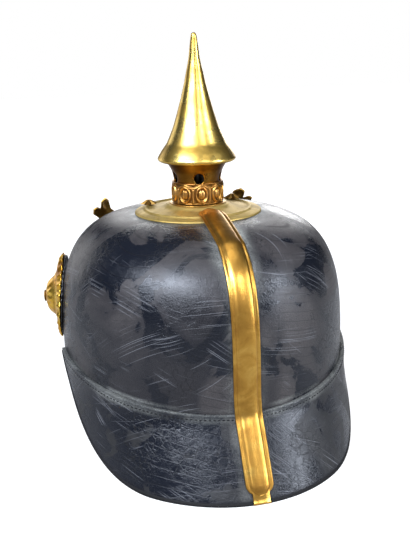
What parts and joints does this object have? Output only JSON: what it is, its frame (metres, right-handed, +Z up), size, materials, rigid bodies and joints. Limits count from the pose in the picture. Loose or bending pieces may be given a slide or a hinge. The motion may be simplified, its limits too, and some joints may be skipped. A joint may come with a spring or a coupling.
{
  "type": "spiked leather helmet",
  "caption": "Black leather spiked helmet with brass fittings: a squarish dome, front visor, neck guard, side rosettes and a spread-wing front plate.",
  "frame": {"origin": "on the level ground that both brims stand on, under the axis of the spike, in the middle of the head opening", "axes": "+Z up along the spike, +Y to the rear of the helmet, +X to the wearer's left"},
  "size_m": [0.1966, 0.254, 0.2424],
  "materials": {
    "black_leather": "lacquered black, worn",
    "brass": "polished, with old tarnish",
    "dark_brass": "dark orange-brown tarnish",
    "pale_brass": "dull, dusty",
    "cockade_paint": "black paint on tinplate",
    "lining_leather": "soft, brown",
    "strap_leather": "dark, waxed",
    "steel": "dull"
  },
  "bodies": {
    "shell": {"skull": "black_leather", "neck_guard": "black_leather", "front_visor": "black_leather", "visor_trim": "brass", "rear_spine": "brass", "spine_posts": "steel", "base_plate": "pale_brass", "plate_studs": "brass", "plate_nuts": "steel", "spike_neck": "dark_brass", "egg_ring": "dark_brass", "neck_bridge": "steel", "front_plate": "brass", "front_plate_posts": "brass", "front_plate_nuts": "steel", "cockade_left": "cockade_paint", "cockade_right": "cockade_paint", "rosette_left": "brass", "rosette_right": "brass", "side_post_left": "brass", "side_post_right": "brass", "side_nut_left": "steel", "side_nut_right": "steel", "sweatband": "lining_leather", "lining_fingers": "lining_leather"},
    "spike": {"spike_cone": "brass", "spike_stud": "steel"},
    "chinstrap": {"chin_strap": "strap_leather", "chin_scales_left": "brass", "chin_scales_right": "brass", "scale_end_left": "brass", "scale_end_right": "brass", "chin_buckle": "brass"}
  },
  "joints": [
    {"name": "spike_lift", "type": "slide", "parent": "shell", "child": "spike", "axis": [0, 0, 1], "range_m": [0, 0.022]},
    {"name": "chin_swing", "type": "hinge", "parent": "shell", "child": "chinstrap", "pos_m": [0, -0.02856, 0.0825], "axis": [-1, 0, 0], "range_deg": [0, 30]}
  ]
}
